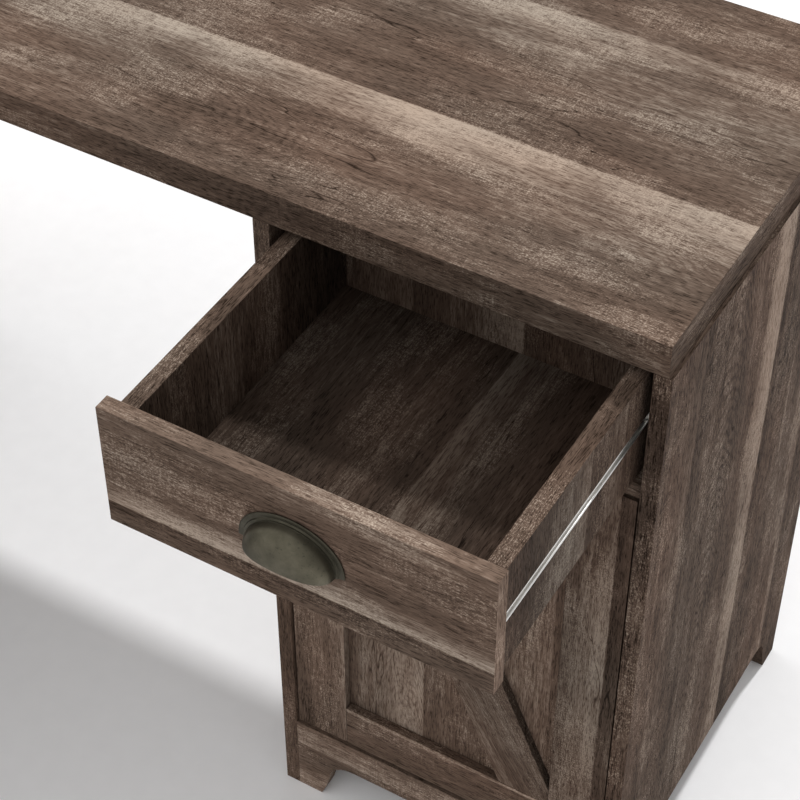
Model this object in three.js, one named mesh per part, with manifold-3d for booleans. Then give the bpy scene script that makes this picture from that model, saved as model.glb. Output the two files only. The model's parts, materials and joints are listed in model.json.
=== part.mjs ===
// Corner desk: two shallow wings meeting in a corner top, with a drawer and cabinet pedestal
// under the right end and an open shelf pedestal under the end of the return wing.
// Millimetres, +Z up. The rest pose has the drawer run out and the cabinet door shut.
import * as THREE from 'three'
import { mergeVertices } from 'three/addons/utils/BufferGeometryUtils.js'
import Module from 'manifold-3d'

const wasm = await Module()
wasm.setup()

// ---- overall sizes ----
const MAIN_LENGTH = 1400 // right end of the main wing to the outer corner
const RETURN_LENGTH = 1240 // back of the desk to the end of the return wing
const DESK_HEIGHT = 762
const TOP_DEPTH = 412 // depth of both wings
const CORNER_SIZE = 640 // side of the square the corner top is cut from

// ---- boards ----
const TOP_THICK = 31
const BOARD = 15
const BACK_THICK = 4
const FIT = 0.3 // clearance left between neighbouring pieces
const TOP_INSET = 3 // top's end, inside the end panel's outer face
const BACK_OVERHANG = 13 // top's back edge, behind the panels

// ---- under the top ----
const APRON_HEIGHT = 60 // aprons and seam battens
const APRON_SETBACK = 80 // aprons, behind the wings' front edges
const BATTEN_SETBACK = 42
const BACK_HEIGHT = 300 // back panels
const CORNER_PANEL = 300 // width of the two panels that stand in the corner
const PLATE_LENGTH = 90 // steel plates under the seams
const PLATE_WIDTH = 24
const PLATE_THICK = 2
const PLATE_GAP = 6 // between a plate and its batten's end
const PLATE_HOLE = 2.2
const PLATE_HOLE_OUT = 0.38 // hole's middle from the plate's, as a share of its length

// ---- pedestals ----
const PEDESTAL_WIDTH = 358
const FOOT_WIDTH = 26
const ARCH_HEIGHT = 58
const ARCH_TAPER = 10
const ARCH_CORNER = 28
const ARCH_SHOULDER = 0.57 // where the arch's corner starts, as a share of its height
const FOOT_CURVE = 0.45 // height and run of the foot's bend, as shares
const FOOT_CURVE_RUN = 0.55
const SKIRT_TOP = 100
const DRAWER_OPENING = 122 // divider's top to the underside of the desk's top
const DIVIDER_RECESS = 4
const SHELF_HEIGHT = 340
const SHELF_RECESS = 34
const PIN_RADIUS = 2.5
const PIN_HOLE_DEPTH = 9
const PIN_SHOWS = 9 // pin's length that carries the shelf
const PIN_ROW_FRONT = 26 // front row of pin holes, behind the shelf's front edge
const PIN_ROW_BACK = 40 // back row, in front of the pedestal's back
const PIN_STEP = 32

// ---- drawer ----
const DRAWER_OUT = 230.5 // how far the drawer is run out in the rest pose
const FRONT_RECESS = 2.5 // shut drawer front and door, behind the panels' front edges
const FRONT_GAP = 2
const FRONT_THICK = 14
const BOX_SIDE_GAP = 7.5
const BOX_DEPTH = 303
const BOX_TOP_GAP = 12.5 // drawer box, below the top
const BOX_FLOOR_LIFT = 3.5 // box's underside above the divider
const BOTTOM_THICK = 4
const BOTTOM_LIFT = 5
const BOTTOM_TUCK = 6 // how far the bottom sits into the sides and front
const GROOVE_DEPTH = 6 // slide groove in the box's sides
const RAIL_HEIGHT = 10
const RAIL_RISE = 53.5 // slide's middle above the box's underside
const RAIL_FRONT_GAP = 10 // groove left open in front of the rail
const RAIL_END_GAP = 3
const RAIL_WALL = 1.1
const RAIL_PLAY = 0.7 // between the tongue and the rail's lips
const RUNNER_START = 20 // fixed runner, behind the panels' front edges
const RUNNER_EXTRA = 10 // fixed runner, longer than the rail
const RUNNER_HEIGHT = 20

// ---- door ----
const STILE = 54
const BOTTOM_RAIL = 53
const TOP_RAIL = 54
const DOOR_TOP_GAP = 2.5
const DOOR_THICK = 15
const DOOR_PANEL_THICK = 4
const DOOR_PANEL_LIP = 2 // wood left behind the panel's groove
const BRACE_WIDTH = 55
const BRACE_FOOT = 51 // brace's foot along the bottom rail
const KNOB_DROP = 191.5 // knob's middle below the door's top
// The knob from its foot to its crown: [radius, height].
const KNOB_PROFILE = [
  [0, 0], [9, 0], [9, 1.5], [5, 3], [4.5, 9], [8, 12], [13.5, 15.5], [15, 19], [13.5, 22.5],
  [8, 25], [0, 26]
]
const HINGE_INSET = 76 // hinge centres from the door's ends
const HINGE_CUP_RADIUS = 17.5
const HINGE_CUP_DEPTH = 5
const HINGE_CUP_EDGE = 5 // cup's rim to the door's edge
const HINGE_FLANGE = { inward: 12, outward: 6, half: 24, thick: 1.2 }
const HINGE_SEAT = { inward: 8, outward: 19, half: 8, floor: 1.5, rise: 5 } // the arm's recess
const HINGE_PLATE = { thick: 3, near: 24, far: 62, half: 22 }
const HINGE_ARM = { reach: 13, root: 2.5, near: 4, far: 66, half: 7 }

// ---- cup pull ----
const PULL_WIDTH = 88
const PULL_HEIGHT = 38
const PULL_DEPTH = 19.5
const PULL_RIM = 7
const PULL_WALL = 2
const PULL_RIM_TOP = 0.9 // rim's width over the cup, as a share of PULL_RIM
const CUP_SQUARENESS = 2.6 // 2 would make the cup an ellipsoid
const CUP_RINGS = 14
const PULL_DROP = 27 // pull's top below the drawer front's top
const PULL_BOSS_RADIUS = 3.6 // threaded bosses inside the cup
const PULL_BOSS_INSET = 8 // boss's middle, in from the cup's side
const PULL_BORE_DEPTH = 6.5
const PULL_SCREW_RADIUS = 1.8
const PULL_SCREW_HEAD = 3.4
const PULL_SCREW_RISE = 9 // screw's middle above the pull's lower edge

const WOOD = { color: 0x8f8175, roughness: 0.62, metalness: 0 }
const WOOD_TOP = { color: 0x9d9085, roughness: 0.55, metalness: 0 }
const WOOD_INNER = { color: 0x82756b, roughness: 0.68, metalness: 0 }
const STEEL = { color: 0xc9cbcd, roughness: 0.3, metalness: 0.9 }
const PEWTER = { color: 0x6f756d, roughness: 0.42, metalness: 0.75 }

const PANEL_TOP = DESK_HEIGHT - TOP_THICK - FIT
const PANEL_DEPTH = TOP_DEPTH - BACK_OVERHANG
const RETURN_END = TOP_DEPTH - RETURN_LENGTH
const RETURN_FRONT = -MAIN_LENGTH + TOP_DEPTH
const CORNER_X = -MAIN_LENGTH + CORNER_SIZE
const CORNER_Y = TOP_DEPTH - CORNER_SIZE

const desk = new THREE.Group()
desk.name = 'corner_desk'

// ---------- solids ----------

function toSolid (geometry) {
  const g = geometry.clone()
  g.deleteAttribute('normal')
  g.deleteAttribute('uv')
  const m = mergeVertices(g, 1e-5)
  return new wasm.Manifold(new wasm.Mesh({
    numProp: 3,
    vertProperties: new Float32Array(m.attributes.position.array),
    triVerts: new Uint32Array(m.index.array)
  }))
}

function toGeometry (solid) {
  const mesh = solid.getMesh()
  const g = new THREE.BufferGeometry()
  g.setAttribute('position', new THREE.BufferAttribute(new Float32Array(mesh.vertProperties), 3))
  g.setIndex(new THREE.BufferAttribute(new Uint32Array(mesh.triVerts), 1))
  g.computeVertexNormals()
  return g
}

function boxGeometry (x0, x1, y0, y1, z0, z1) {
  const g = new THREE.BoxGeometry(x1 - x0, y1 - y0, z1 - z0)
  g.translate((x0 + x1) / 2, (y0 + y1) / 2, (z0 + z1) / 2)
  return g
}

function box (x0, x1, y0, y1, z0, z1) {
  return toSolid(boxGeometry(x0, x1, y0, y1, z0, z1))
}

// A prism along X, Y or Z from an outline in the other two axes.
function prism (outline, axis, from, to) {
  const shape = new THREE.Shape(outline.map(([a, b]) => new THREE.Vector2(a, b)))
  const g = new THREE.ExtrudeGeometry(shape, { depth: to - from, bevelEnabled: false })
  const m = new THREE.Matrix4()
  if (axis === 'x') m.set(0, 0, 1, from, 1, 0, 0, 0, 0, 1, 0, 0, 0, 0, 0, 1)
  if (axis === 'y') m.set(1, 0, 0, 0, 0, 0, -1, to, 0, 1, 0, 0, 0, 0, 0, 1)
  if (axis === 'z') m.makeTranslation(0, 0, from)
  g.applyMatrix4(m)
  return toSolid(g)
}

// A round bar along X or Y.
function bar (axis, from, to, a, b, radius, sides = 24) {
  const g = new THREE.CylinderGeometry(radius, radius, to - from, sides)
  if (axis === 'x') g.rotateZ(Math.PI / 2).translate((from + to) / 2, a, b)
  if (axis === 'y') g.translate(a, (from + to) / 2, b)
  return toSolid(g.rotateY(0))
}

function addPiece (parent, name, solid, look) {
  const mesh = new THREE.Mesh(toGeometry(solid), new THREE.MeshStandardMaterial(look))
  mesh.name = name
  parent.add(mesh)
  return mesh
}

function group (name, parent = desk) {
  const g = new THREE.Group()
  g.name = name
  parent.add(g)
  return g
}

// ---------- shared outlines ----------

// Underside of a panel that stands on two feet, from one end to the other.
function footedEdge (start, end) {
  const shoulder = ARCH_HEIGHT * ARCH_SHOULDER
  const side = []
  side.push([FOOT_WIDTH, 0])
  side.push([FOOT_WIDTH + ARCH_TAPER * FOOT_CURVE_RUN, shoulder * FOOT_CURVE])
  for (let i = 0; i <= 6; i++) {
    const t = i / 6 * Math.PI / 2
    const run = FOOT_WIDTH + ARCH_TAPER + ARCH_CORNER * (1 - Math.cos(t))
    side.push([run, shoulder + (ARCH_HEIGHT - shoulder) * Math.sin(t)])
  }
  const near = side.map(([run, z]) => [start + run, z])
  const far = side.map(([run, z]) => [end - run, z]).reverse()
  return [[start, 0], ...near, ...far, [end, 0]]
}

function footedPanel (axis, start, end, top, from, to) {
  return prism([...footedEdge(start, end), [end, top], [start, top]], axis, from, to)
}

// ---------- the top in three boards ----------

const top = group('top')
const topLow = DESK_HEIGHT - TOP_THICK
addPiece(top, 'main_top',
  box(CORNER_X + FIT, -TOP_INSET, 0, TOP_DEPTH, topLow, DESK_HEIGHT), WOOD_TOP)
addPiece(top, 'return_top',
  box(-MAIN_LENGTH, RETURN_FRONT, RETURN_END + TOP_INSET, CORNER_Y - FIT, topLow, DESK_HEIGHT),
  WOOD_TOP)
const cornerOutline = [
  [-MAIN_LENGTH, TOP_DEPTH],
  [-MAIN_LENGTH, CORNER_Y],
  [RETURN_FRONT, CORNER_Y],
  [CORNER_X, 0],
  [CORNER_X, TOP_DEPTH]
]
addPiece(top, 'corner_top', prism(cornerOutline, 'z', topLow, DESK_HEIGHT), WOOD_TOP)

// ---------- rails, back panels and plates under the top ----------

const under = group('under_frame')
const railLow = PANEL_TOP - APRON_HEIGHT
const backLow = PANEL_TOP - BACK_HEIGHT
const backFace = PANEL_DEPTH
const backInner = PANEL_DEPTH - BOARD
const returnBack = -MAIN_LENGTH + BACK_OVERHANG

const battenMain = [CORNER_X - BOARD / 2, CORNER_X + BOARD / 2]
const battenReturn = [CORNER_Y - BOARD / 2, CORNER_Y + BOARD / 2]
addPiece(under, 'seam_batten_main',
  box(battenMain[0], battenMain[1], BATTEN_SETBACK, backInner - FIT, railLow, PANEL_TOP),
  WOOD_INNER)
addPiece(under, 'seam_batten_return',
  box(returnBack + BOARD + FIT, RETURN_FRONT - BATTEN_SETBACK, battenReturn[0], battenReturn[1],
    railLow, PANEL_TOP), WOOD_INNER)
addPiece(under, 'apron_main',
  box(battenMain[1] + FIT, -PEDESTAL_WIDTH - FIT, APRON_SETBACK, APRON_SETBACK + BOARD, railLow,
    PANEL_TOP), WOOD)
addPiece(under, 'apron_return',
  box(RETURN_FRONT - APRON_SETBACK - BOARD, RETURN_FRONT - APRON_SETBACK,
    RETURN_END + PEDESTAL_WIDTH + FIT, battenReturn[0] - FIT, railLow, PANEL_TOP), WOOD)
addPiece(under, 'back_panel_main',
  box(returnBack + CORNER_PANEL + FIT, -PEDESTAL_WIDTH - FIT, backInner, backFace, backLow,
    PANEL_TOP), WOOD)
addPiece(under, 'back_panel_return',
  box(returnBack, returnBack + BOARD, RETURN_END + PEDESTAL_WIDTH + FIT,
    backFace - CORNER_PANEL - FIT, backLow, PANEL_TOP), WOOD)
addPiece(under, 'corner_panel_back',
  footedPanel('y', returnBack, returnBack + CORNER_PANEL, PANEL_TOP, backInner, backFace), WOOD)
addPiece(under, 'corner_panel_side',
  footedPanel('x', backFace - CORNER_PANEL, backInner - FIT, PANEL_TOP, returnBack,
    returnBack + BOARD), WOOD)

// Steel plates that tie each seam in front of its batten.
function seamPlate (name, x, y, alongX) {
  const dx = (alongX ? PLATE_LENGTH : PLATE_WIDTH) / 2
  const dy = (alongX ? PLATE_WIDTH : PLATE_LENGTH) / 2
  let plate = box(x - dx, x + dx, y - dy, y + dy, PANEL_TOP - PLATE_THICK, PANEL_TOP)
  for (const s of [-1, 1]) {
    const hx = alongX ? x + s * PLATE_LENGTH * PLATE_HOLE_OUT : x
    const hy = alongX ? y : y + s * PLATE_LENGTH * PLATE_HOLE_OUT
    const hole = new THREE.CylinderGeometry(PLATE_HOLE, PLATE_HOLE, 8, 16).rotateX(Math.PI / 2)
    plate = plate.subtract(toSolid(hole.translate(hx, hy, PANEL_TOP)))
  }
  return addPiece(under, name, plate, STEEL)
}
const plateIn = BATTEN_SETBACK - PLATE_WIDTH / 2 - PLATE_GAP
// On a short wing a plate slides along its seam's crossing, clear of the pedestal's panel.
const plateClear = PEDESTAL_WIDTH + FIT + PLATE_LENGTH / 2
seamPlate('seam_plate_main', Math.min(CORNER_X, -plateClear), plateIn, true)
seamPlate('seam_plate_return', RETURN_FRONT - plateIn,
  Math.max(CORNER_Y, RETURN_END + plateClear), false)

// ---------- a pedestal's two footed panels ----------

// Shelf pin holes in the two faces that look at each other across the cabinet.
const innerRight = -BOARD
const innerLeft = -PEDESTAL_WIDTH + BOARD
const pinRows = [SHELF_RECESS + PIN_ROW_FRONT, backInner - PIN_ROW_BACK]
const pinLevel = SHELF_HEIGHT - PIN_RADIUS - FIT
function pinHoles (face, into) {
  const holes = []
  for (const y of pinRows) {
    for (const step of [-1, 0, 1]) {
      const x0 = Math.min(face, face + into * PIN_HOLE_DEPTH) - (into < 0 ? 0 : 1)
      const x1 = Math.max(face, face + into * PIN_HOLE_DEPTH) + (into < 0 ? 1 : 0)
      holes.push(bar('x', x0, x1, y, pinLevel + step * PIN_STEP, PIN_RADIUS + 0.15, 16))
    }
  }
  return holes
}

const pedestal = group('pedestal')
let rightPanel = footedPanel('x', 0, PANEL_DEPTH, PANEL_TOP, -BOARD, 0)
for (const hole of pinHoles(innerRight, 1)) rightPanel = rightPanel.subtract(hole)
addPiece(pedestal, 'right_panel', rightPanel, WOOD)
let innerPanel = footedPanel('x', 0, PANEL_DEPTH, PANEL_TOP, -PEDESTAL_WIDTH, innerLeft)
for (const hole of pinHoles(innerLeft, -1)) innerPanel = innerPanel.subtract(hole)
addPiece(pedestal, 'inner_panel', innerPanel, WOOD)

const dividerTop = topLow - DRAWER_OPENING
const bayLeft = innerLeft + FIT
const bayRight = innerRight - FIT
addPiece(pedestal, 'skirt', footedPanel('y', bayLeft, bayRight, SKIRT_TOP, 0, BOARD), WOOD)
addPiece(pedestal, 'pedestal_bottom',
  box(bayLeft, bayRight, BOARD + FIT, backFace - BACK_THICK - FIT, SKIRT_TOP - BOARD - FIT,
    SKIRT_TOP - FIT), WOOD_INNER)
addPiece(pedestal, 'pedestal_back',
  box(bayLeft, bayRight, backFace - BACK_THICK, backFace, SKIRT_TOP - BOARD - FIT, PANEL_TOP),
  WOOD_INNER)
addPiece(pedestal, 'divider',
  box(bayLeft, bayRight, DIVIDER_RECESS, backFace - BACK_THICK - FIT, dividerTop - BOARD,
    dividerTop), WOOD)
addPiece(pedestal, 'cabinet_shelf',
  box(bayLeft + 0.7, bayRight - 0.7, SHELF_RECESS, backFace - BACK_THICK - 2, SHELF_HEIGHT,
    SHELF_HEIGHT + BOARD), WOOD_INNER)
let pinCount = 0
for (const y of pinRows) {
  for (const [face, into] of [[innerLeft, -1], [innerRight, 1]]) {
    pinCount += 1
    const deep = face + into * (PIN_HOLE_DEPTH - 1)
    const out = face - into * PIN_SHOWS
    const pin = bar('x', Math.min(deep, out), Math.max(deep, out), y, pinLevel, PIN_RADIUS, 16)
    addPiece(pedestal, 'shelf_pin_' + pinCount, pin, STEEL)
  }
}

// Fixed slide runners: a flat strip on the panel with a tongue that runs in the drawer's rail.
const boxLeft = innerLeft + BOX_SIDE_GAP
const boxRight = innerRight - BOX_SIDE_GAP
const boxLow = dividerTop + BOX_FLOOR_LIFT
const boxTop = topLow - BOX_TOP_GAP
const railCentre = boxLow + RAIL_RISE
const railLength = BOX_DEPTH - RAIL_FRONT_GAP - RAIL_END_GAP
const tongueReach = BOX_SIDE_GAP + GROOVE_DEPTH - RAIL_WALL - 1.2
function runner (name, face, into) {
  const y0 = RUNNER_START
  const y1 = y0 + railLength + RUNNER_EXTRA
  const strip = [face - into * FIT, face - into * 2]
  const tongue = [face - into * 1, face - into * tongueReach]
  const solid = box(Math.min(...strip), Math.max(...strip), y0, y1,
    railCentre - RUNNER_HEIGHT / 2, railCentre + RUNNER_HEIGHT / 2)
  const half = RAIL_HEIGHT / 2 - RAIL_WALL - RAIL_PLAY
  const fin = box(Math.min(...tongue), Math.max(...tongue), y0, y1, railCentre - half,
    railCentre + half)
  addPiece(pedestal, name, solid.add(fin), STEEL)
}
runner('case_runner_left', innerLeft, -1)
runner('case_runner_right', innerRight, 1)

// ---------- the drawer ----------

const drawer = group('drawer')
const frontFace = FRONT_RECESS - DRAWER_OUT
const frontBack = frontFace + FRONT_THICK
const frontLow = dividerTop + FRONT_GAP
const frontTop = topLow - FRONT_GAP
const frontLeft = innerLeft + FRONT_GAP
const frontRight = innerRight - FRONT_GAP
const boxFrontY = frontBack + FIT
const boxBackY = boxFrontY + BOX_DEPTH
const bottomLow = boxLow + BOTTOM_LIFT
const pullX = (frontLeft + frontRight) / 2
const pullTop = frontTop - PULL_DROP
const pullLow = pullTop - PULL_HEIGHT
const screwZ = pullLow + PULL_SCREW_RISE
const screwOut = PULL_WIDTH / 2 - PULL_RIM - PULL_BOSS_INSET
const screwX = [pullX - screwOut, pullX + screwOut]

const bottomLeft = boxLeft + BOARD - BOTTOM_TUCK + FIT
const bottomRight = boxRight - BOARD + BOTTOM_TUCK - FIT
const bottomGroove = box(bottomLeft - FIT, bottomRight + FIT, frontBack - BOTTOM_TUCK,
  boxBackY + 1, bottomLow - FIT, bottomLow + BOTTOM_THICK + FIT)
let front = box(frontLeft, frontRight, frontFace, frontBack, frontLow, frontTop)
front = front.subtract(bottomGroove)
for (const x of screwX) {
  front = front.subtract(bar('y', frontFace - 1, frontBack + 1, x, screwZ,
    PULL_SCREW_RADIUS + FIT, 16))
}
addPiece(drawer, 'drawer_front', front, WOOD)

const railLip = RAIL_HEIGHT / 2 + FIT
for (const [name, outer, inward] of [['left', boxLeft, 1], ['right', boxRight, -1]]) {
  const inner = outer + inward * BOARD
  let side = box(Math.min(outer, inner), Math.max(outer, inner), boxFrontY, boxBackY, boxLow,
    boxTop)
  const slot = [outer - inward, outer + inward * GROOVE_DEPTH]
  side = side.subtract(box(Math.min(...slot), Math.max(...slot), boxFrontY - 1, boxBackY + 1,
    railCentre - railLip, railCentre + railLip))
  side = side.subtract(bottomGroove)
  addPiece(drawer, 'drawer_side_' + name, side, WOOD_INNER)

  const r0 = outer + inward * FIT
  const r1 = outer + inward * (GROOVE_DEPTH - FIT)
  const cut = [outer - inward, outer + inward * (GROOVE_DEPTH - FIT - RAIL_WALL)]
  const y0 = boxFrontY + RAIL_FRONT_GAP
  const y1 = y0 + railLength
  const channel = box(Math.min(r0, r1), Math.max(r0, r1), y0, y1,
    railCentre - RAIL_HEIGHT / 2, railCentre + RAIL_HEIGHT / 2)
  const mouth = box(Math.min(...cut), Math.max(...cut), y0 - 1, y1 + 1,
    railCentre - RAIL_HEIGHT / 2 + RAIL_WALL, railCentre + RAIL_HEIGHT / 2 - RAIL_WALL)
  addPiece(drawer, 'drawer_rail_' + name, channel.subtract(mouth), STEEL)
}
addPiece(drawer, 'drawer_back',
  box(boxLeft + BOARD + FIT, boxRight - BOARD - FIT, boxBackY - BOARD, boxBackY,
    bottomLow + BOTTOM_THICK + FIT, boxTop), WOOD_INNER)
addPiece(drawer, 'drawer_bottom',
  box(bottomLeft, bottomRight, frontBack - BOTTOM_TUCK + FIT, boxBackY, bottomLow,
    bottomLow + BOTTOM_THICK), WOOD_INNER)

// Cup pull: a rim plate with a domed cup that opens downwards and has two bosses inside.
const pullBack = frontFace - FIT
function dome (halfWidth, height, depth) {
  const profile = [new THREE.Vector2(0, 0)]
  for (let i = 0; i < CUP_RINGS; i++) {
    const t = i / CUP_RINGS * Math.PI / 2
    const power = 2 / CUP_SQUARENESS
    profile.push(new THREE.Vector2(Math.cos(t) ** power, Math.sin(t) ** power))
  }
  profile.push(new THREE.Vector2(0, 1))
  const g = new THREE.LatheGeometry(profile, 48)
  g.rotateX(Math.PI).scale(halfWidth, depth, height)
  g.translate(pullX, pullBack, pullLow)
  return toSolid(g)
}
function halfOval (halfWidth, height, thick) {
  const rim = []
  for (let i = 0; i <= 32; i++) {
    const t = i / 32 * Math.PI
    rim.push([pullX + halfWidth * Math.cos(t), pullLow + height * Math.sin(t) ** 0.9])
  }
  return prism(rim, 'y', pullBack - thick, pullBack)
}
const cupHalf = PULL_WIDTH / 2 - PULL_RIM
const cupHeight = PULL_HEIGHT - PULL_RIM * PULL_RIM_TOP
const keep = box(pullX - PULL_WIDTH, pullX + PULL_WIDTH, pullBack - PULL_DEPTH - 5, pullBack,
  pullLow, pullTop + 5)
const hollow = dome(cupHalf - PULL_WALL, cupHeight - PULL_WALL, PULL_DEPTH - PULL_WALL)
const shell = dome(cupHalf, cupHeight, PULL_DEPTH)
let cup = shell.add(halfOval(PULL_WIDTH / 2, PULL_HEIGHT, PULL_WALL)).subtract(hollow)
for (const x of screwX) {
  const boss = bar('y', pullBack - PULL_DEPTH, pullBack, x, screwZ, PULL_BOSS_RADIUS, 20)
  const bore = bar('y', pullBack - PULL_BORE_DEPTH, pullBack + 1, x, screwZ,
    PULL_SCREW_RADIUS + FIT, 16)
  cup = cup.add(boss.intersect(shell)).subtract(bore)
}
addPiece(drawer, 'cup_pull', cup.intersect(keep), PEWTER)

// The pull's screws come from inside the drawer, through the front, into the bosses.
for (const [i, x] of screwX.entries()) {
  const seat = frontBack + FIT
  const shank = bar('y', pullBack - PULL_BORE_DEPTH + 1, seat + 0.3, x, screwZ,
    PULL_SCREW_RADIUS, 16)
  const ball = new THREE.SphereGeometry(PULL_SCREW_HEAD, 20, 12).scale(1, 0.6, 1)
  const inside = box(x - 5, x + 5, seat, seat + 5, screwZ - 5, screwZ + 5)
  const head = toSolid(ball.translate(x, seat, screwZ)).intersect(inside)
  addPiece(drawer, 'pull_screw_' + (i ? 'right' : 'left'), head.add(shank), STEEL)
}

// ---------- the cabinet door ----------

const door = group('door')
const doorLow = SKIRT_TOP + FRONT_GAP
const doorTop = dividerTop - BOARD - DOOR_TOP_GAP
const doorFace = FRONT_RECESS
const doorBack = doorFace + DOOR_THICK
const paneLeft = frontLeft + STILE
const paneRight = frontRight - STILE
const paneLow = doorLow + BOTTOM_RAIL
const paneTop = doorTop - TOP_RAIL
const paneBack = doorBack - DOOR_PANEL_LIP
const paneFront = paneBack - DOOR_PANEL_THICK
const cupIn = HINGE_CUP_EDGE + HINGE_CUP_RADIUS // cup's middle from the door's edge
const tuck = (STILE - cupIn - HINGE_CUP_RADIUS) / 2 // panel's edge in its groove, beside the cups
const paneSlot = box(paneLeft - tuck, paneRight + tuck, paneFront - FIT, paneBack + FIT,
  paneLow - tuck, paneTop + tuck)
const hingeLevels = [doorLow + HINGE_INSET, doorTop - HINGE_INSET]
const cupX = frontRight - cupIn

addPiece(door, 'door_stile_left',
  box(frontLeft, paneLeft, doorFace, doorBack, doorLow, doorTop).subtract(paneSlot), WOOD)
let hingeStile = box(paneRight, frontRight, doorFace, doorBack, doorLow, doorTop)
hingeStile = hingeStile.subtract(paneSlot)
for (const z of hingeLevels) {
  hingeStile = hingeStile.subtract(bar('y', doorBack - HINGE_CUP_DEPTH, doorBack + 1, cupX, z,
    HINGE_CUP_RADIUS + 0.2, 40))
}
addPiece(door, 'door_stile_right', hingeStile, WOOD)
addPiece(door, 'door_rail_bottom',
  box(paneLeft + FIT, paneRight - FIT, doorFace, doorBack, doorLow, paneLow).subtract(paneSlot),
  WOOD)
addPiece(door, 'door_rail_top',
  box(paneLeft + FIT, paneRight - FIT, doorFace, doorBack, paneTop, doorTop).subtract(paneSlot),
  WOOD)
addPiece(door, 'door_panel',
  box(paneLeft - tuck + FIT, paneRight + tuck - FIT, paneFront, paneBack, paneLow - tuck + FIT,
    paneTop + tuck - FIT), WOOD)

// Diagonal brace from the hinge side's lower corner to the opposite upper corner.
function braceOutline () {
  const left = paneLeft + FIT
  const right = paneRight - FIT
  const low = paneLow + FIT
  const high = paneTop - FIT
  const foot = new THREE.Vector2(right - BRACE_FOOT, low)
  const head = new THREE.Vector2(left, high)
  const run = head.clone().sub(foot).normalize()
  const across = new THREE.Vector2(run.y, -run.x)
  const far = foot.clone().addScaledVector(across, BRACE_WIDTH)
  const riseTo = x => far.y + (x - far.x) / run.x * run.y
  const runTo = z => far.x + (z - far.y) / run.y * run.x
  return [[foot.x, foot.y], [right, low], [right, riseTo(right)], [runTo(high), high],
    [head.x, head.y]]
}
addPiece(door, 'door_brace', prism(braceOutline(), 'y', doorFace, paneFront - FIT), WOOD)

const knobX = frontLeft + STILE / 2
const knob = new THREE.LatheGeometry(KNOB_PROFILE.map(([r, h]) => new THREE.Vector2(r, h)), 36)
knob.rotateX(Math.PI).translate(knobX, doorFace - FIT, doorTop - KNOB_DROP)
addPiece(door, 'door_knob', toSolid(knob), PEWTER)

for (const [name, z] of [['lower', hingeLevels[0]], ['upper', hingeLevels[1]]]) {
  const cupSolid = bar('y', doorBack - HINGE_CUP_DEPTH + FIT, doorBack + FIT, cupX, z,
    HINGE_CUP_RADIUS, 40)
  const flange = box(cupX - HINGE_FLANGE.inward, cupX + HINGE_FLANGE.outward, doorBack + FIT,
    doorBack + FIT + HINGE_FLANGE.thick, z - HINGE_FLANGE.half, z + HINGE_FLANGE.half)
  const seat = box(cupX - HINGE_SEAT.inward, cupX + HINGE_SEAT.outward,
    doorBack - HINGE_CUP_DEPTH + HINGE_SEAT.floor, doorBack + HINGE_SEAT.rise,
    z - HINGE_SEAT.half, z + HINGE_SEAT.half)
  addPiece(door, 'hinge_cup_' + name, cupSolid.add(flange).subtract(seat), STEEL)
  const plate = box(innerRight - HINGE_PLATE.thick, innerRight - FIT, doorBack + HINGE_PLATE.near,
    doorBack + HINGE_PLATE.far, z - HINGE_PLATE.half, z + HINGE_PLATE.half)
  const arm = box(innerRight - HINGE_ARM.reach, innerRight - HINGE_ARM.root,
    doorBack + HINGE_ARM.near, doorBack + HINGE_ARM.far, z - HINGE_ARM.half, z + HINGE_ARM.half)
  addPiece(pedestal, 'hinge_plate_' + name, plate.add(arm), STEEL)
}

// ---------- the return wing's open shelf pedestal ----------

const shelves = group('shelf_pedestal')
const endY = RETURN_END
const innerY = RETURN_END + PEDESTAL_WIDTH
const shelfBack = returnBack
addPiece(shelves, 'return_end_panel',
  footedPanel('y', shelfBack, RETURN_FRONT, PANEL_TOP, endY, endY + BOARD), WOOD)
addPiece(shelves, 'return_inner_panel',
  footedPanel('y', shelfBack, RETURN_FRONT, PANEL_TOP, innerY - BOARD, innerY), WOOD)
const bayY = [endY + BOARD + FIT, innerY - BOARD - FIT]
const bayX = [shelfBack + BACK_THICK + FIT, RETURN_FRONT]
addPiece(shelves, 'return_skirt',
  footedPanel('x', bayY[0], bayY[1], SKIRT_TOP, RETURN_FRONT - BOARD, RETURN_FRONT), WOOD)
addPiece(shelves, 'return_back',
  box(shelfBack, shelfBack + BACK_THICK, bayY[0], bayY[1], SKIRT_TOP - BOARD - FIT, PANEL_TOP),
  WOOD_INNER)
addPiece(shelves, 'return_bottom',
  box(bayX[0], RETURN_FRONT - BOARD - FIT, bayY[0], bayY[1], SKIRT_TOP - BOARD - FIT,
    SKIRT_TOP - FIT), WOOD_INNER)
const shelfSpace = (PANEL_TOP - SKIRT_TOP - 2 * BOARD) / 3
const shelfLevels = [SKIRT_TOP + shelfSpace, SKIRT_TOP + 2 * shelfSpace + BOARD]
for (const [i, z] of shelfLevels.entries()) {
  addPiece(shelves, i ? 'return_shelf_upper' : 'return_shelf_lower',
    box(bayX[0], RETURN_FRONT - DIVIDER_RECESS, bayY[0], bayY[1], z, z + BOARD), WOOD)
}

// Origin at the middle of the footprint, on the floor.
desk.position.set(MAIN_LENGTH / 2, -(TOP_DEPTH + RETURN_END) / 2, 0)
desk.updateMatrixWorld(true)

export default desk
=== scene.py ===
"""Corner desk: weathered oak laminate, pewter and steel finishes, and the metal details."""
import json
import math
import random

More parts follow.
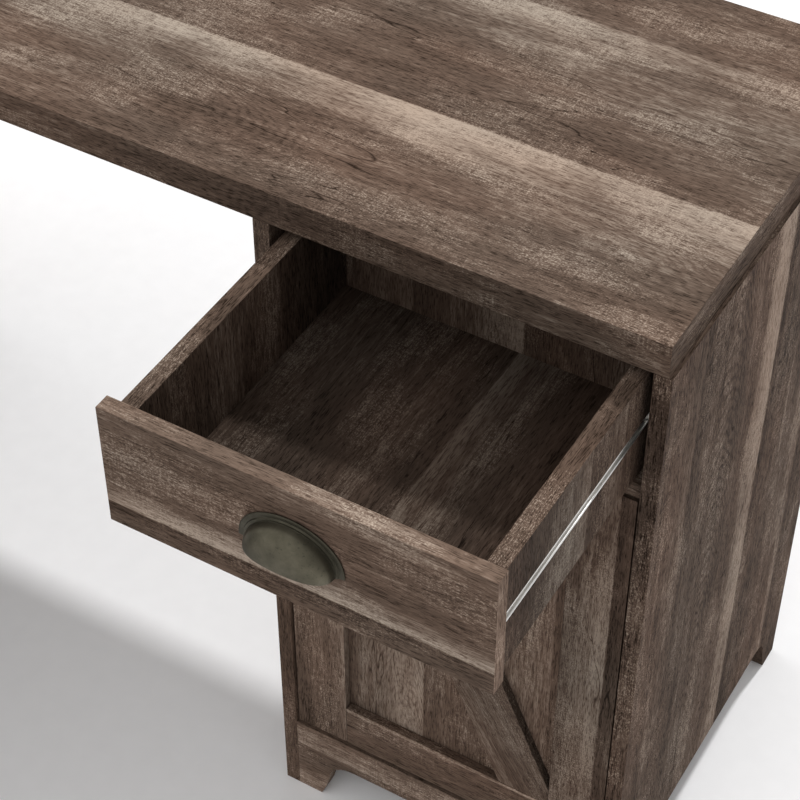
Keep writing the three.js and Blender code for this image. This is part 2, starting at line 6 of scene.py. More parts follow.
import bmesh
import bpy
from mathutils import Euler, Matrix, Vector


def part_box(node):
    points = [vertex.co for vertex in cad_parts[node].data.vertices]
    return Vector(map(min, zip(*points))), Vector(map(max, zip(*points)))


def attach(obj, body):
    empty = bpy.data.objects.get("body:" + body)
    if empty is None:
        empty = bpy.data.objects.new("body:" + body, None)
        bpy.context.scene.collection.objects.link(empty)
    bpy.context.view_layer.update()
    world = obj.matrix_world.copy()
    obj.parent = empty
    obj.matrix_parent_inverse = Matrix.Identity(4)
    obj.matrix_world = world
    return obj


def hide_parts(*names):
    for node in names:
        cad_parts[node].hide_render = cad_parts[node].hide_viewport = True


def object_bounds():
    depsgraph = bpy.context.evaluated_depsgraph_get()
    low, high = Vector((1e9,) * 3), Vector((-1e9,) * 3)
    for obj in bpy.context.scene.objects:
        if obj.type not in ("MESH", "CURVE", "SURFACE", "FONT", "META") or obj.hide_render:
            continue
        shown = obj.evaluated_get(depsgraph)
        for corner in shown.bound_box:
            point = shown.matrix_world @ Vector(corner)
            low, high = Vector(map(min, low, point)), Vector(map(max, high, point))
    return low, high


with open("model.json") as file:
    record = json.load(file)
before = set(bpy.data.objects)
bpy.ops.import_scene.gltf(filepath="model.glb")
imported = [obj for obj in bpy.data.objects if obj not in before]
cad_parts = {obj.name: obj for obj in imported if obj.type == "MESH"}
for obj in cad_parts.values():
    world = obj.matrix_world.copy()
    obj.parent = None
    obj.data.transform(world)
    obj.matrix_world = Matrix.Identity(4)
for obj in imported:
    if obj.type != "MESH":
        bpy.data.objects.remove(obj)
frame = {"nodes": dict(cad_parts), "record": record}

MM = 0.001
cad_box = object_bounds()
scene = bpy.context.scene
X, Y, Z = Vector((1, 0, 0)), Vector((0, 1, 0)), Vector((0, 0, 1))


# ---------- camera, floor and light ----------

CAMERA_PLACE = (1.08943, -0.83790, 1.79613)
CAMERA_ANGLES = (45.3912, 0.0348, 30.4194)  # degrees
CAMERA_LENS = 96.627  # mm, on a 36 mm sensor
FLOOR_HALF = 30  # metres
FLOOR_GAP = 0.2 * MM
FLOOR_DIM = (0.93, 0.925, 0.93)
FLOOR_BRIGHT = (0.95, 0.945, 0.95)
WORLD_STRENGTH = 0.56
BACK_LIGHT = ((0.1, 0.74, 1.0), 1.80, 4.5)  # towards the light, irradiance, spread in degrees
LEFT_LIGHT = ((-0.62, -0.60, 0.62), 1.45, 110)


def make_camera():
    data = bpy.data.cameras.new("camera")
    data.sensor_width = 36
    data.lens = CAMERA_LENS
    data.clip_end = 60
    camera = bpy.data.objects.new("camera", data)
    camera.location = CAMERA_PLACE
    camera.rotation_euler = Euler([math.radians(a) for a in CAMERA_ANGLES])
    scene.collection.objects.link(camera)
    scene.camera = camera


def make_sun(name, towards, irradiance, spread):
    """A distant soft light; towards points from the desk to the light."""
    data = bpy.data.lights.new(name, "SUN")
    data.energy = irradiance
    data.angle = math.radians(spread)
    sun = bpy.data.objects.new(name, data)
    sun.rotation_euler = Vector(towards).to_track_quat("Z", "Y").to_euler()
    scene.collection.objects.link(sun)


def make_world(strength):
    world = bpy.data.worlds.new("studio")
    world.use_nodes = True
    world.node_tree.nodes["Background"].inputs["Color"].default_value = (1, 1, 1, 1)
    world.node_tree.nodes["Background"].inputs["Strength"].default_value = strength
    scene.world = world


def make_floor():
    mesh = bpy.data.meshes.new("floor")
    bm = bmesh.new()
    bmesh.ops.create_grid(bm, x_segments=8, y_segments=8, size=FLOOR_HALF)
    bm.to_mesh(mesh)
    bm.free()
    floor = bpy.data.objects.new("floor", mesh)
    floor.location.z = cad_box[0].z - FLOOR_GAP
    scene.collection.objects.link(floor)
    graph = Graph("floor_paper")
    grain = graph.noise(graph.place, 40, 3)
    shade = graph.ramp(grain, [(0.3, FLOOR_DIM), (0.7, FLOOR_BRIGHT)])
    graph.link(shade, graph.shader.inputs["Base Color"])
    graph.shader.inputs["Roughness"].default_value = 0.9
    graph.shader.inputs["Specular IOR Level"].default_value = 0.1
    mesh.materials.append(graph.material)


# ---------- node graphs ----------

class Graph:
    """A material and short calls for the nodes that this scene needs."""

    def __init__(self, name):
        self.material = bpy.data.materials.new(name)
        self.material.use_nodes = True
        self.tree = self.material.node_tree
        self.shader = self.tree.nodes["Principled BSDF"]
        self.place = self.node("ShaderNodeTexCoord").outputs["Object"]
        self.facing = self.node("ShaderNodeTexCoord").outputs["Normal"]

    def node(self, kind, **settings):
        made = self.tree.nodes.new(kind)
        for key, value in settings.items():
            setattr(made, key, value)
        return made

    def link(self, source, target):
        if isinstance(source, bpy.types.NodeSocket):
            self.tree.links.new(source, target)
        else:
            target.default_value = source

    def math(self, operation, a, b=0.0, clamp=False):
        made = self.node("ShaderNodeMath", operation=operation, use_clamp=clamp)
        self.link(a, made.inputs[0])
        self.link(b, made.inputs[1])
        return made.outputs[0]

    def dot(self, vector, direction):
        made = self.node("ShaderNodeVectorMath", operation="DOT_PRODUCT")
        self.link(vector, made.inputs[0])
        made.inputs[1].default_value = direction
        return made.outputs["Value"]

    def combine(self, x, y, z):
        made = self.node("ShaderNodeCombineXYZ")
        for value, socket in zip((x, y, z), made.inputs):
            self.link(value, socket)
        return made.outputs[0]

    def noise(self, vector, scale, detail, roughness=0.5, distortion=0.0):
        made = self.node("ShaderNodeTexNoise")
        self.link(vector, made.inputs["Vector"])
        made.inputs["Scale"].default_value = scale
        made.inputs["Detail"].default_value = detail
        made.inputs["Roughness"].default_value = roughness
        made.inputs["Distortion"].default_value = distortion
        return made.outputs[0]

    def ramp(self, value, stops):
        """A colour ramp; stops are (position, colour) or (position, grey level)."""
        made = self.node("ShaderNodeValToRGB")
        elements = made.color_ramp.elements
        while len(elements) < len(stops):
            elements.new(1.0)
        for element, (position, colour) in zip(elements, stops):
            element.position = position
            rgb = colour if hasattr(colour, "__len__") else (colour,) * 3
            element.color = (*rgb, 1)
        self.link(value, made.inputs[0])
        return made.outputs["Color"]

    def stretch(self, value, low, high, to_low=0.0, to_high=1.0):
        made = self.node("ShaderNodeMapRange", clamp=True)
        for socket, number in zip(made.inputs[1:5], (low, high, to_low, to_high)):
            self.link(number, socket)
        self.link(value, made.inputs[0])
        return made.outputs[0]

    def mix(self, factor, a, b, kind="MIX"):
        made = self.node("ShaderNodeMix", data_type="RGBA", blend_type=kind)
        for name, value in (("Factor", factor), ("A", a), ("B", b)):
            socket = [s for s in made.inputs if s.name == name and s.enabled][0]
            self.link(value if not isinstance(value, tuple) else (*value, 1), socket)
        return [s for s in made.outputs if s.enabled][0]

    def bump(self, height, distance, strength):
        made = self.node("ShaderNodeBump")
        made.inputs["Strength"].default_value = strength
        made.inputs["Distance"].default_value = distance
        self.link(height, made.inputs["Height"])
        return made.outputs[0]


# ---------- weathered oak laminate ----------

OAK_DARK = (0.026, 0.017, 0.012)
OAK_BODY = (0.142, 0.0985, 0.0755)
OAK_PALE = (0.41, 0.333, 0.272)
OAK_COOL = (0.97, 0.995, 0.99)
OAK_WARM = (1.06, 0.98, 0.93)

# How far each layer of the print swings the tone, which runs from 0 to 1.
CLOUDS, STREAKS, FINE_GRAIN, ARCHES = 0.42, 0.55, 0.62, 0.17
PORES, FLECKS, SAW_MARKS, CRACKS = 0.26, 0.34, 0.10, 0.34
# Each layer's noise cells per metre, along and across the grain.
CLOUD_CELLS = (5.0, 14.0)
STREAK_CELLS = (4.5, 70.0)
FINE_CELLS = (45.0, 420.0)
PORE_CELLS = (120.0, 1200.0)
FLECK_CELLS = (560.0, 1100.0)
PATCH_CELLS = (8.0, 20.0)
CRACK_CELLS = (2.6, 24.0)
SAW_CELLS = (420.0, 36.0)
EDGE_WANDER = 0.005  # metres that a plank's printed edge wanders
PLANK_WIDTH = 0.14  # metres
PLANK_STEP = 1.5 * MM  # how quickly the tone drops at a plank's edge
PLANK_STOPS = 26  # planks are added below this many stops; a colour ramp holds 32
LAMINATE_SHEEN = 0.02
LAMINATE_RELIEF = 0.3 * MM


def sawtooth_planks(seed, width):
    """Tone across a board: each printed plank grows lighter, then drops at its edge."""
    draw = random.Random(seed)
    stops = []
    at = -draw.uniform(0.1, 0.9) * PLANK_WIDTH
    while at < width and len(stops) < PLANK_STOPS:
        wide = PLANK_WIDTH * draw.uniform(0.7, 1.25)
        low = draw.uniform(0.34, 0.46)
        high = draw.uniform(0.56, 0.78)
        middle = (low + high) * 0.48
        stops += [(at + PLANK_STEP, low), (at + wide * 0.62, middle), (at + wide, high)]
        at += wide
    return stops


def laminate(name, grain, across, low, width, planks=None, tone=1.0, edge=0.62, flame=None,
             contrast=1.1):
    """Weathered oak print. grain and across are unit vectors in the board's face, low is the
    board's edge along across, and planks lists (metres from low, tone) stops. edge is a
    painted light and shade factor on the narrow edge faces against the broad faces' tone,
    flame is the cathedral figure's (middle, reach, pitch) in metres, and contrast widens the
    print's tones around the middle."""
    g = Graph("oak_" + name)
    thick = grain.cross(across)
    seed = random.Random(name)
    offset = [seed.uniform(-9, 9) for _ in range(3)]

    along = g.dot(g.place, grain)
    side = g.math("SUBTRACT", g.dot(g.place, across), low)
    depth = g.dot(g.place, thick)

    # On the board's end faces the edge band's grain runs along the edge.
    end = g.math("GREATER_THAN", g.math("ABSOLUTE", g.dot(g.facing, grain)), 0.7)
    rest = g.math("SUBTRACT", 1.0, end)
    u = g.math("ADD", g.math("MULTIPLY", along, rest), g.math("MULTIPLY", side, end))
    v = g.math("ADD", g.math("MULTIPLY", side, rest), g.math("MULTIPLY", depth, end))
    w = g.math("ADD", g.math("MULTIPLY", depth, rest), end)

    def field(along_scale, across_scale, shift=0.0):
        """Noise coordinates, scaled apart along and across the grain; shift keeps the layers
        from lining up."""
        return g.combine(g.math("ADD", g.math("MULTIPLY", u, along_scale), offset[0] + shift),
                         g.math("ADD", g.math("MULTIPLY", v, across_scale), offset[1] + shift),
                         g.math("ADD", g.math("MULTIPLY", w, across_scale), offset[2]))

    def swing(value, size):
        """A noise value as a change of tone around zero."""
        return g.math("MULTIPLY", g.math("SUBTRACT", value, 0.5), size)

    # Printed planks, their strength fading in and out along the board.
    wander = g.noise(field(3.0, 2.0), 1.0, 2)
    stops = planks or sawtooth_planks(name, width)
    scaled = sorted((min(max(p / width, 0.0), 1.0), t) for p, t in stops)
    inside = g.math("DIVIDE", g.math("ADD", v, swing(wander, EDGE_WANDER)), width)
    patchy = g.stretch(g.noise(field(3.5, 1.5, 7.0), 1.0, 3), 0.32, 0.66, 0.45, 1.5)
    value = g.math("MULTIPLY", g.math("SUBTRACT", g.ramp(inside, scaled), 0.5), patchy)

    # Broad clouds, long streaks and the fine run of the grain.
    clouds = g.noise(field(*CLOUD_CELLS, 3.0), 1.0, 4, 0.6)
    value = g.math("ADD", value, swing(clouds, CLOUDS))
    streaks = g.noise(field(*STREAK_CELLS, 11.0), 1.0, 6, 0.66, 0.3)
    value = g.math("ADD", value, swing(streaks, STREAKS))
    fine = g.noise(field(*FINE_CELLS, 19.0), 1.0, 3, 0.65)
    value = g.math("ADD", value, swing(fine, FINE_GRAIN))

    # Cathedral figure: nested arches along a plank's middle.
    if flame:
        middle, reach, pitch = flame
        off_middle = g.math("SUBTRACT", v, middle)
        bow = g.math("MULTIPLY", g.math("MULTIPLY", off_middle, off_middle), 3.2 / reach)
        sway = g.noise(field(6.0, 18.0, 5.0), 1.0, 4, 0.6)
        run = g.math("ADD", g.math("ADD", u, bow), g.math("MULTIPLY", sway, 0.12))
        wave = g.math("SINE", g.math("MULTIPLY", run, 2 * math.pi / pitch))
        near = g.stretch(g.math("ABSOLUTE", off_middle), reach * 0.6, reach, 1.0, 0.0)
        fade = g.stretch(g.noise(field(3.0, 5.0, 13.0), 1.0, 2), 0.40, 0.56)
        broken = g.stretch(fine, 0.35, 0.6, 0.4, 1.0)
        arches = g.math("MULTIPLY", g.math("MULTIPLY", g.stretch(wave, 0.0, 0.9), near), fade)
        arches = g.math("MULTIPLY", arches, broken)
        value = g.math("SUBTRACT", value, g.math("MULTIPLY", arches, ARCHES))

    # Open pores: short dark dashes along the grain.
    pore = g.stretch(g.noise(field(*PORE_CELLS, 17.0), 1.0, 2, 0.5), 0.52, 0.66)
    value = g.math("SUBTRACT", value, g.math("MULTIPLY", pore, PORES))

    # Pale weathering: flecks in patches, crossed by faint saw marks.
    fleck = g.stretch(g.noise(field(*FLECK_CELLS, 23.0), 1.0, 2, 0.6), 0.48, 0.66)
    patch = g.stretch(g.noise(field(*PATCH_CELLS, 29.0), 1.0, 4, 0.62), 0.44, 0.60)
    cut = g.combine(g.math("MULTIPLY", u, SAW_CELLS[0]), g.math("MULTIPLY", v, SAW_CELLS[1]), w)
    marks = g.math("MULTIPLY", g.stretch(g.noise(cut, 1.0, 2), 0.42, 0.66), patch)
    flecks = g.math("MULTIPLY", fleck, patch)
    value = g.math("ADD", value, g.math("MULTIPLY", flecks, FLECKS))
    value = g.math("ADD", value, g.math("MULTIPLY", g.math("SUBTRACT", marks, 0.25), SAW_MARKS))

    # Thin dark cracks that follow the grain.
    bend = g.noise(field(*CRACK_CELLS, 31.0), 1.0, 3, 0.5, 0.5)
    gap = g.stretch(g.math("ABSOLUTE", g.math("SUBTRACT", bend, 0.5)), 0.0, 0.005, 1.0, 0.0)
    some = g.stretch(g.noise(field(4.0, 9.0, 37.0), 1.0, 1), 0.56, 0.60)
    crack = g.math("MULTIPLY", gap, some)
    value = g.math("SUBTRACT", value, g.math("MULTIPLY", crack, CRACKS))

    # Painted light and shade: edge darkens or lightens the narrow edge faces against the broad
    # faces.
    face = g.stretch(g.math("ABSOLUTE", g.dot(g.facing, thick)), 0.45, 0.55, edge, 1.0)
    shade = g.math("ADD", g.math("MULTIPLY", value, contrast), 0.5, clamp=True)
    stops = ((0.0, OAK_DARK), (0.5, OAK_BODY), (1.0, OAK_PALE))
    colour = g.ramp(shade, [(p, tuple(c * tone for c in rgb)) for p, rgb in stops])
    tint = g.stretch(g.noise(field(3.0, 9.0, 41.0), 1.0, 3), 0.35, 0.65)
    colour = g.mix(1.0, colour, g.ramp(tint, [(0.0, OAK_COOL), (1.0, OAK_WARM)]), "MULTIPLY")
    colour = g.mix(1.0, colour, face, "MULTIPLY")
    g.link(colour, g.shader.inputs["Base Color"])

    gloss = g.math("ADD", g.math("MULTIPLY", pore, 0.2), g.math("MULTIPLY", fine, 0.1))
    g.link(g.math("ADD", gloss, 0.58), g.shader.inputs["Roughness"])
    g.shader.inputs["Specular IOR Level"].default_value = LAMINATE_SHEEN
    relief = g.math("SUBTRACT", g.math("MULTIPLY", fine, 0.6), g.math("ADD", pore, crack))
    relief = g.math("ADD", relief, g.math("MULTIPLY", marks, 0.4))
    g.link(g.bump(relief, LAMINATE_RELIEF, 0.6), g.shader.inputs["Normal"])
    return g.material


# ---------- metals ----------

def brushed(graph, scales):
    """Noise coordinates drawn out along the axis with the smallest scale."""
    return graph.combine(*(graph.math("MULTIPLY", graph.dot(graph.place, axis), scale)
                           for axis, scale in zip((X, Y, Z), scales)))


def zinc_steel():
    g = Graph("zinc_steel")
    lines = g.noise(brushed(g, (900, 25, 900)), 1.0, 3)
    cloud = g.noise(g.place, 60, 3)
    g.link(g.ramp(cloud, [(0.3, (0.70, 0.685, 0.66)), (0.7, (0.84, 0.825, 0.80))]),
           g.shader.inputs["Base Color"])
    g.link(g.stretch(lines, 0.3, 0.7, 0.24, 0.40), g.shader.inputs["Roughness"])
    g.link(g.bump(lines, 0.05 * MM, 0.4), g.shader.inputs["Normal"])
    g.shader.inputs["Metallic"].default_value = 1.0
    return g.material


def aged_pewter(name, root=None):
    """Aged pewter; root is the y of a cup's rim plate, towards which painted shade darkens the
    metal.
    """
    g = Graph(name)
    cloud = g.noise(g.place, 70, 5, 0.62)
    lines = g.noise(brushed(g, (150, 1000, 1000)), 1.0, 3, 0.6)
    spots = g.stretch(g.noise(g.place, 420, 2, 0.6), 0.60, 0.74)
    base = g.ramp(cloud, [(0.30, (0.078, 0.071, 0.050)), (0.55, (0.108, 0.098, 0.070)),
                          (0.80, (0.150, 0.136, 0.100))])
    if root is not None:
        # Painted shade: darker towards the rim plate, where the cup meets the board.
        painted_root_shade = g.stretch(g.dot(g.place, Y), root - 10 * MM, root - 2 * MM, 0.88, 0.50)
        base = g.mix(1.0, base, g.ramp(painted_root_shade, [(0.0, 0.0), (1.0, 1.0)]), "MULTIPLY")
    g.link(g.mix(g.math("MULTIPLY", spots, 0.5), base, (0.03, 0.032, 0.022)),
           g.shader.inputs["Base Color"])
    g.shader.inputs["Metallic"].default_value = 0.92
    sheen = g.math("ADD", g.math("MULTIPLY", cloud, 0.6), g.math("MULTIPLY", lines, 0.4))
    g.link(g.stretch(sheen, 0.3, 0.7, 0.55, 0.38), g.shader.inputs["Roughness"])
    g.link(g.bump(g.math("SUBTRACT", lines, spots), 0.12 * MM, 0.35), g.shader.inputs["Normal"])
    return g.material


# ---------- boards ----------

BOARD_EASE, STEEL_EASE, PEWTER_EASE = 0.6 * MM, 0.2 * MM, 0.3 * MM
WELD_REACH = 0.01 * MM


def soften(node, material, width=BOARD_EASE):
    """Eases a CAD piece's edges and gives it its finish."""
    piece = frame["nodes"][node]
    piece.data.materials.clear()
    piece.data.materials.append(material)
    weld = piece.modifiers.new("weld", "WELD")
    weld.merge_threshold = WELD_REACH
    bevel = piece.modifiers.new("eased_edges", "BEVEL")
    bevel.width = width
    bevel.segments = 2
    bevel.limit_method = "ANGLE"
    bevel.angle_limit = math.radians(40)


AXES = {"x": X, "y": Y, "z": Z}


def dress(node, grain, across, **finish):
    """Lays the laminate on one board, with its grain along one axis."""
    low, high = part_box(node)
    axis = AXES[across.strip("-")]
    sign = -1 if across.startswith("-") else 1
    direction = axis * sign
    edges = [low.dot(direction), high.dot(direction)]
    soften(node, laminate(node, AXES[grain], direction, min(edges),
                          abs(edges[1] - edges[0]), **finish))


BRACE_HALF = 30 * MM  # a little over half the brace's width

# Tone across the boards seen best: (metres from the board's edge, tone).
TOP_PLANKS = [
    (0.000, 0.46), (0.055, 0.46), (0.095, 0.52), (0.125, 0.70), (0.151, 0.86), (0.153, 0.44),
    (0.190, 0.44), (0.250, 0.50), (0.300, 0.60), (0.326, 0.70), (0.328, 0.42), (0.412, 0.48),
]
SIDE_PLANKS = [
    (0.000, 0.40), (0.030, 0.44), (0.062, 0.52), (0.066, 0.36), (0.110, 0.50), (0.150, 0.48),
    (0.190, 0.48), (0.212, 0.70), (0.232, 0.74), (0.234, 0.36), (0.300, 0.46), (0.345, 0.56),
    (0.347, 0.38), (0.399, 0.46),
]
FRONT_PLANKS = [
    (0.000, 0.50), (0.035, 0.45), (0.070, 0.50), (0.086, 0.66), (0.095, 0.73), (0.097, 0.34),
    (0.118, 0.42),
]
BOX_PLANKS = [
    (0.000, 0.40), (0.060, 0.44), (0.110, 0.56), (0.134, 0.60), (0.137, 0.42), (0.190, 0.58),
    (0.194, 0.46), (0.303, 0.40),
]
FLOOR_PLANKS = [
    (0.000, 0.44), (0.060, 0.42), (0.120, 0.50), (0.166, 0.42), (0.168, 0.74), (0.200, 0.60),
    (0.240, 0.40), (0.300, 0.36),
]


def dress_boards():
    """Every laminate board: the grain's axis, then the axis its planks lie across."""
    # The edge values paint light and shade on the boards' narrow faces: below 1 painted shade, above
    # 1 a painted highlight.
    dress("main_top", "x", "y", planks=TOP_PLANKS, flame=(0.062, 0.075, 0.0125), tone=1.00,
          edge=0.70, contrast=1.25)
    dress("corner_top", "x", "y", tone=0.98)
    dress("return_top", "y", "x", tone=0.98, flame=(0.21, 0.08, 0.012))
    dress("right_panel", "z", "y", planks=SIDE_PLANKS, flame=(0.13, 0.05, 0.014), tone=0.76,
          edge=0.78, contrast=1.45)
    dress("inner_panel", "z", "y", edge=0.85)
    # edge=1.55 paints a highlight on the drawer front's lit top edge.
    dress("drawer_front", "x", "-z", planks=FRONT_PLANKS, flame=(0.03, 0.05, 0.012), tone=0.83,
          edge=1.55)
    dress("skirt", "x", "-z", tone=1.12, edge=0.75)
    for node in ("door_rail_bottom", "door_rail_top"):
        dress(node, "x", "-z", edge=0.75)
    dress("door_stile_left", "z", "x", flame=(0.027, 0.03, 0.010), edge=0.75)
    dress("door_stile_right", "z", "x", tone=0.54, contrast=1.3)
    dress("door_panel", "z", "x", flame=(0.06, 0.04, 0.012), tone=0.80)
    dress("divider", "x", "y")
    # Painted shade: the drawer's bottom, sides and back carry low tones for the shade inside the
    # drawer, and the sides' edge=1.7 paints a highlight on their top edges.
    dress("drawer_bottom", "y", "x", planks=FLOOR_PLANKS, tone=0.40)
    for node in ("drawer_side_left", "drawer_side_right"):
        dress(node, "z", "y", planks=BOX_PLANKS, tone=0.54, edge=1.7, contrast=1.4)
    dress("drawer_back", "z", "x", tone=0.60)
    for node in ("pedestal_bottom", "cabinet_shelf"):
        dress(node, "x", "y", tone=0.9)
    dress("pedestal_back", "z", "x", tone=0.8)
    for node in ("apron_main", "back_panel_main", "seam_batten_return"):
        dress(node, "x", "-z")
    for node in ("apron_return", "back_panel_return", "seam_batten_main"):
        dress(node, "y", "-z")
    for node in ("corner_panel_back", "return_end_panel", "return_inner_panel"):
        dress(node, "z", "x")
    dress("corner_panel_side", "z", "y")
    dress("return_skirt", "y", "-z")
    dress("return_back", "z", "y", tone=0.85)
    for node in ("return_bottom", "return_shelf_lower", "return_shelf_upper"):
        dress(node, "y", "x")
    low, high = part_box("door_brace")
    run = Vector((low.x - high.x, 0, high.z - low.z)).normalized()
    across = Vector((-run.z, 0, run.x))
    middle = ((low + high) / 2).dot(across)
    soften("door_brace", laminate("door_brace", run, across, middle - BRACE_HALF,
                                  2 * BRACE_HALF, tone=0.64))


# ---------- metal pieces ----------

SHARP = math.radians(42)  # edges that turn further than this stay crisp
CROSS_WAIST, CROSS_ARM = 0.42, 0.58  # of a drive's radius: between the arms, and their length


def add_mesh(name, bm, material, body, replaces=()):
    """Makes a visual piece of a bmesh and tells the frame where it belongs."""
    mesh = bpy.data.meshes.new(name)
    bmesh.ops.remove_doubles(bm, verts=bm.verts, dist=0.001 * MM)
    bmesh.ops.recalc_face_normals(bm, faces=bm.faces)
    for face in bm.faces:
        face.smooth = True
    for edge in bm.edges:
        if len(edge.link_faces) == 2 and edge.calc_face_angle() > SHARP:
            edge.smooth = False
    bm.to_mesh(mesh)
    bm.free()
    mesh.materials.append(material)
    made = bpy.data.objects.new(name, mesh)
    scene.collection.objects.link(made)
    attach(made, body)
    if replaces:
        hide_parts(*replaces)
    return made


def turned(profile, centre, axis, sides, recess=()):
    """A closed turned body. profile lists (radius, height along axis) and starts and ends on
    the axis; the rings listed in recess take the cross shape of a screw's drive."""
    bm = bmesh.new()
    turn = axis.to_track_quat("Z", "Y").to_matrix()
    rings = []
    for index, (radius, height) in enumerate(profile):
        ring = []
        for i in range(sides if radius else 1):
            angle = 2 * math.pi * i / sides
            cross = 1.0
            if index in recess:
                cross = CROSS_WAIST + CROSS_ARM * abs(math.cos(2 * angle)) ** 3
            flat = Vector((math.cos(angle), math.sin(angle), 0)) * radius * cross
            ring.append(bm.verts.new(centre + turn @ (flat + Vector((0, 0, height)))))
        rings.append(ring)
    for one, two in zip(rings, rings[1:]):
        for i in range(sides):
            j = (i + 1) % sides
            corners = [one[i % len(one)], two[i % len(two)], two[j % len(two)], one[j % len(one)]]
            bm.faces.new(list(dict.fromkeys(corners)))
    return bm


def screw(name, centre, axis, radius, body, replaces=(), shank=0.0):
    """A pan head with a cross drive; shank is the length behind the seat."""
    r = radius
    profile = [(0, -shank), (0.5 * r, -shank), (0.5 * r, 0)] if shank else [(0, 0)]
    profile += [(0.96 * r, 0), (r, 0.12 * r), (0.93 * r, 0.36 * r), (0.72 * r, 0.55 * r)]
    rim = len(profile)
    profile += [(0.5 * r, 0.62 * r), (0.44 * r, 0.40 * r), (0, 0.34 * r)]
    bm = turned(profile, Vector(centre), axis, 32, recess=(rim, rim + 1))
    return add_mesh(name, bm, steel, body, replaces)


CUP_SQUARENESS = 2.6  # 2 would make the cup an ellipsoid
CUP_RINGS = 18
CUP_AROUND = 56
PULL_RIM = 7.0 * MM
PULL_RIM_TOP = 0.9  # rim's width over the cup, as a share of PULL_RIM
PULL_PLATE = 1.8 * MM
PULL_WALL = 1.5 * MM
PULL_LIP = 0.4 * MM
PULL_ROOT = 1.0 * MM  # the step between the rim plate and the cup
PULL_BOSS = [(0, 0), (3.6 * MM, 0), (3.3 * MM, 6 * MM), (0, 6 * MM)]
PULL_SCREW_HEAD = 3.4 * MM
SEAT_GAP = 0.3 * MM  # between a screw's head and the board


def cup_pull():
    """A flat rim plate that sweeps up into a squarish domed cup, open below."""
    low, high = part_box("cup_pull")
    middle = Vector(((low.x + high.x) / 2, high.y, low.z))
    plate_half, plate_high = (high.x - low.x) / 2, high.z - low.z
    depth = high.y - low.y
    cup_half, cup_high = plate_half - PULL_RIM, plate_high - PULL_RIM_TOP * PULL_RIM
    plate = PULL_PLATE - 0.3 * MM
    root = PULL_PLATE + PULL_ROOT
    rows = [(plate_half, plate_high, 0.5 * MM), (plate_half, plate_high, 1.0 * MM),
            (plate_half - 0.6 * MM, plate_high - 0.6 * MM, plate),
            (cup_half + 2.6 * MM, cup_high + 2.6 * MM, plate),
            (cup_half + 2.0 * MM, cup_high + 2.0 * MM, PULL_PLATE + 0.9 * MM),
            (cup_half + 0.4 * MM, cup_high + 0.4 * MM, root)]
    # The cup: steep at its root, a tight shoulder, then a broad front.
    for k in range(1, CUP_RINGS + 1):
        angle = k / CUP_RINGS * math.pi / 2
        out = math.cos(angle) ** (2 / CUP_SQUARENESS) if k < CUP_RINGS else 0
        up = math.sin(angle) ** (2 / CUP_SQUARENESS)
        rows.append((cup_half * out, cup_high * out, root + (depth - root) * up))
    bm = bmesh.new()
    lines = []
    for half, tall, forward in rows:
        line = []
        for i in range(CUP_AROUND + 1):
            a = math.pi * i / CUP_AROUND
            x = half * math.cos(a)
            z = tall * math.sin(a) ** (0.9 if half > cup_half + 1 * MM else 1.0)
            line.append(bm.verts.new(middle + Vector((x, -forward, z))))
        lines.append(line)
    for one, two in zip(lines, lines[1:]):
        for i in range(CUP_AROUND):
            bm.faces.new((one[i], one[i + 1], two[i + 1], two[i]))
    # The cup's pewter carries painted shade towards its rim plate.
    metal = aged_pewter("cup_pewter", high.y)
    made = add_mesh("cup_pull_shell", bm, metal, "drawer", ["cup_pull"])
    shell = made.modifiers.new("wall", "SOLIDIFY")
    shell.thickness = PULL_WALL
    shell.offset = -1
    shell.use_even_offset = True
    lip = made.modifiers.new("lip", "BEVEL")
    lip.width = PULL_LIP
    lip.segments = 3
    lip.limit_method = "ANGLE"
    lip.angle_limit = math.radians(50)
    smooth = made.modifiers.new("smooth", "SUBSURF")
    smooth.levels = smooth.render_levels = 1
    for side, at in (("left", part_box("pull_screw_left")), ("right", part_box("pull_screw_right"))):
        x, z = (at[0].x + at[1].x) / 2, (at[0].z + at[1].z) / 2
        bm = turned(PULL_BOSS, Vector((x, high.y, z)), -Y, 24)
        add_mesh("pull_boss_" + side, bm, pewter, "drawer")
        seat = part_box("drawer_front")[1].y + SEAT_GAP
        screw("pull_machine_screw_" + side, (x, seat, z), Y, PULL_SCREW_HEAD, "drawer",
              ["pull_screw_" + side], seat - high.y)


# The knob's foot, neck and flare: (share of its radius, share of its reach).
KNOB_STEM = [
    (0, 0), (0.60, 0), (0.60, 0.035), (0.56, 0.06), (0.40, 0.09), (0.32, 0.16), (0.30, 0.26),
    (0.32, 0.36), (0.42, 0.44), (0.60, 0.50), (0.80, 0.56),
]
KNOB_CROWN = 0.64  # where the crown's curve starts, as a share of its reach
KNOB_RINGS = 12


def door_knob():
    """A turned mushroom knob."""
    low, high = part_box("door_knob")
    centre = Vector(((low.x + high.x) / 2, high.y, (low.z + high.z) / 2))
    reach, radius = high.y - low.y, (high.x - low.x) / 2
    profile = list(KNOB_STEM)
    for k in range(1, KNOB_RINGS + 1):
        a = k / KNOB_RINGS * math.pi / 2
        out = math.cos(a) ** 0.8 if k < KNOB_RINGS else 0
        profile.append((out, KNOB_CROWN + (1 - KNOB_CROWN) * math.sin(a)))
    scaled = [(r * radius, h * reach) for r, h in profile]
    bm = turned(scaled, centre, -Y, 64)
    add_mesh("door_knob_turned", bm, pewter, "door", ["door_knob"])


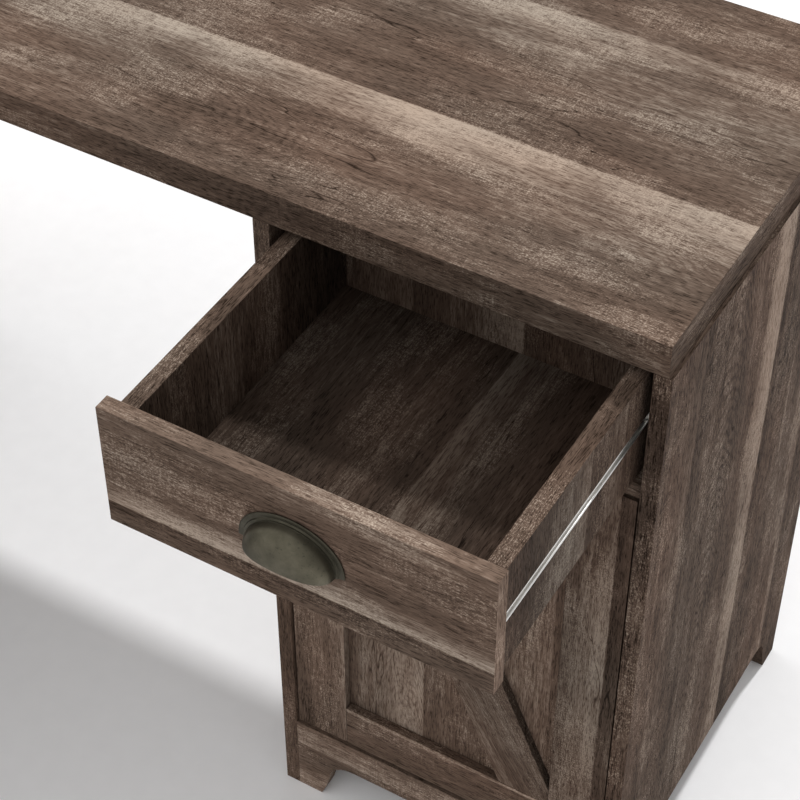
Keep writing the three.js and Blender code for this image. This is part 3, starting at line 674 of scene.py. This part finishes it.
LIP_RADIUS = 0.9 * MM
LIP_INSET = 0.6 * MM  # bead's middle from the rail's edge
LIP_SUNK = 0.4 * MM  # bead's middle behind the rail's face
LIP_END = 0.5 * MM
RAIL_SEAT = 0.1 * MM  # rail screws' seats, in from the rail's back: the heads lie sunk
RAIL_SCREWS = (0.12, 0.5, 0.88)  # along the rail, as shares of its length
RAIL_SCREW_HEAD = 2.4 * MM
HINGE_SCREW_RISE = 19 * MM  # cup's screws, above and below its middle
HINGE_SCREW_IN = 15 * MM
PLATE_SCREW_RISE = 15 * MM
PLATE_SCREW_IN = 23 * MM
PLATE_SCREW_SUNK = 2.7 * MM
HINGE_SCREW_HEAD = 3.2 * MM
ARM_SCREWS = (12 * MM, 34 * MM)  # along the arm from its front
ARM_SCREW_HEAD = 2.8 * MM


def rail_lips():
    """The rolled edges of the drawer rails: two bright beads along each channel."""
    for side, outward in (("left", -1), ("right", 1)):
        low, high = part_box("drawer_rail_" + side)
        face = high.x if outward > 0 else low.x
        radius = LIP_RADIUS
        length = high.y - low.y
        bead = [(0, 0), (0.6 * radius, 0), (radius, LIP_END), (radius, length / 2),
                (radius, length - LIP_END), (0.6 * radius, length), (0, length)]
        for edge, z in (("lower", low.z + LIP_INSET), ("upper", high.z - LIP_INSET)):
            bm = turned(bead, Vector((face - outward * LIP_SUNK, low.y, z)), Y, 16)
            add_mesh(f"rail_lip_{side}_{edge}", bm, steel, "drawer")


def hardware_screws():
    """Screws in the drawer rails and in the hinges' cups, plates and arms."""
    for side, inward in (("left", 1), ("right", -1)):
        low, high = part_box("drawer_rail_" + side)
        floor_x = high.x - RAIL_SEAT if inward > 0 else low.x + RAIL_SEAT
        for i, share in enumerate(RAIL_SCREWS):
            y = low.y + share * (high.y - low.y)
            screw(f"rail_screw_{side}_{i + 1}", (floor_x, y, (low.z + high.z) / 2), -inward * X,
                  RAIL_SCREW_HEAD, "drawer")
    for level in ("lower", "upper"):
        low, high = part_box("hinge_cup_" + level)
        z = (low.z + high.z) / 2
        for i, rise in enumerate((-HINGE_SCREW_RISE, HINGE_SCREW_RISE)):
            screw(f"hinge_screw_{level}_{i + 1}", (low.x + HINGE_SCREW_IN, high.y, z + rise), Y,
                  HINGE_SCREW_HEAD, "door")
        low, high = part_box("hinge_plate_" + level)
        for i, rise in enumerate((-PLATE_SCREW_RISE, PLATE_SCREW_RISE)):
            seat = (high.x - PLATE_SCREW_SUNK, high.y - PLATE_SCREW_IN, z + rise)
            screw(f"plate_screw_{level}_{i + 1}", seat, -X, HINGE_SCREW_HEAD, "desk")
        for i, back in enumerate(ARM_SCREWS):
            screw(f"arm_screw_{level}_{i + 1}", (low.x, low.y + back, z), -X,
                  ARM_SCREW_HEAD, "desk")


# ---------- the scene ----------

dress_boards()
steel = zinc_steel()
pewter = aged_pewter("aged_pewter")
for row in frame["record"]["subparts"]:
    if row["material_slot"] == "bright_steel":
        soften(row["node"], steel, STEEL_EASE)
    if row["material_slot"] == "dark_pewter":
        soften(row["node"], pewter, PEWTER_EASE)
cup_pull()
door_knob()
rail_lips()
hardware_screws()

make_camera()
make_floor()
make_world(WORLD_STRENGTH)
make_sun("back_light", *BACK_LIGHT)
make_sun("left_light", *LEFT_LIGHT)
scene.view_settings.view_transform = "Standard"
